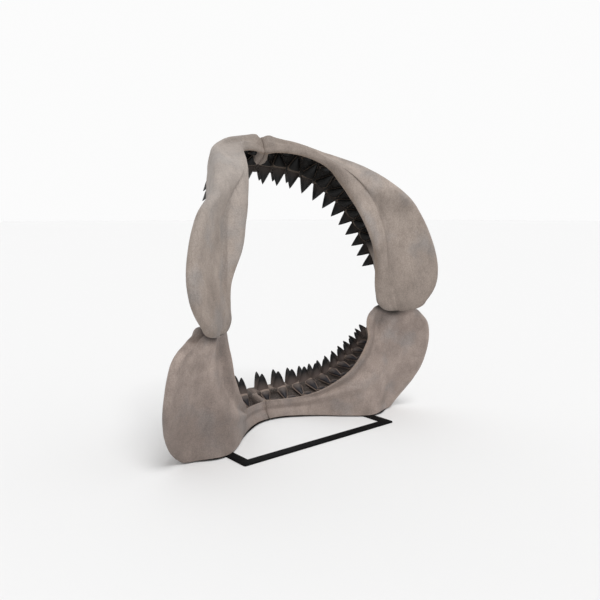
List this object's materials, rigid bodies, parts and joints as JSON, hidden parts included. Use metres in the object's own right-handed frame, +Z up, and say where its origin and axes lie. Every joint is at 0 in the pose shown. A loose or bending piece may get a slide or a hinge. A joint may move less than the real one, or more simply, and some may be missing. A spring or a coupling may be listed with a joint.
{
  "type": "giant shark jaw replica",
  "caption": "Gaping pair of giant shark jaws as a museum replica, upper and lower halves set with triangular teeth, resting on a flat steel bar stand.",
  "frame": {"origin": "on the floor, at the middle of the bounding box", "axes": "+X the animal's left, -Y the way the mouth faces, +Z up; the floor is Z = 0"},
  "size_m": [2.2964, 1.0252, 2.0999],
  "materials": {
    "upper_cartilage": "painted cast resin, dry satin",
    "lower_cartilage": "painted cast resin, dry satin",
    "tooth_groove": "dark painted cast resin",
    "teeth": "glossy dark resin, paler at the root",
    "stand_steel": "black powder coat"
  },
  "bodies": {
    "root": {"upper_jaw_left": "upper_cartilage", "upper_jaw_right": "upper_cartilage", "lower_jaw_left": "lower_cartilage", "lower_jaw_right": "lower_cartilage", "stand": "stand_steel"}
  },
  "joints": []
}
